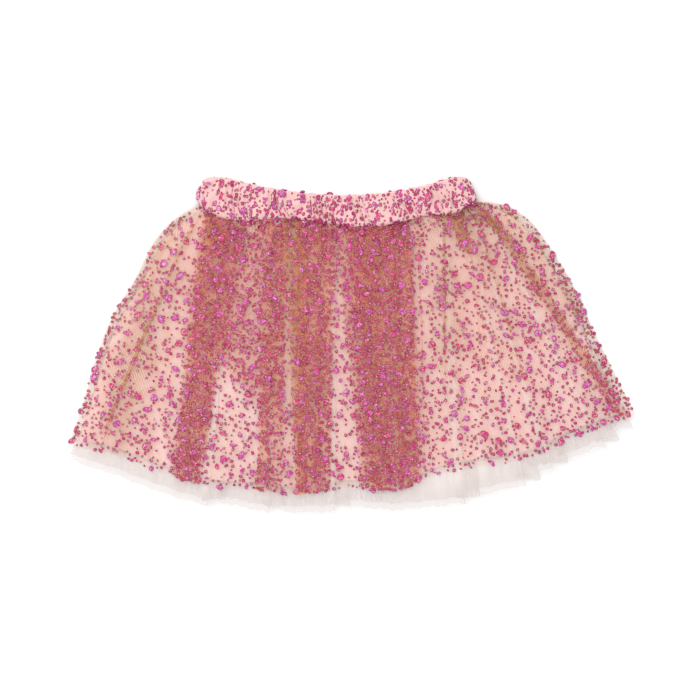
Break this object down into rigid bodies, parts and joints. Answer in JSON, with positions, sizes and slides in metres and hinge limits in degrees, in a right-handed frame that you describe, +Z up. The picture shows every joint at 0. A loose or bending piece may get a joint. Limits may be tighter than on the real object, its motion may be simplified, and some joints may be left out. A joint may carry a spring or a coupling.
{
  "type": "tulle skirt",
  "caption": "Child's gathered skirt with a puckered waistband, a glitter net over a longer tulle underskirt and a short lining, laid flat.",
  "frame": {"origin": "middle of the skirt's outline, on the surface it lies on", "axes": "+X across the skirt to the viewer's right, +Y from hem to waist, +Z up from the surface, with the skirt's front up"},
  "size_m": [0.4824, 0.2842, 0.0148],
  "materials": {
    "waistband": "pink cloth under net with magenta glitter dots",
    "net": "nude net with raised magenta glitter dots",
    "tulle": "soft ivory tulle",
    "lining": "matt pale pink cloth"
  },
  "bodies": {
    "root": {"waistband": "waistband", "net_front": "net", "net_back": "net", "tulle_front": "tulle", "tulle_back": "tulle", "lining_front": "lining", "lining_back": "lining"}
  },
  "joints": []
}
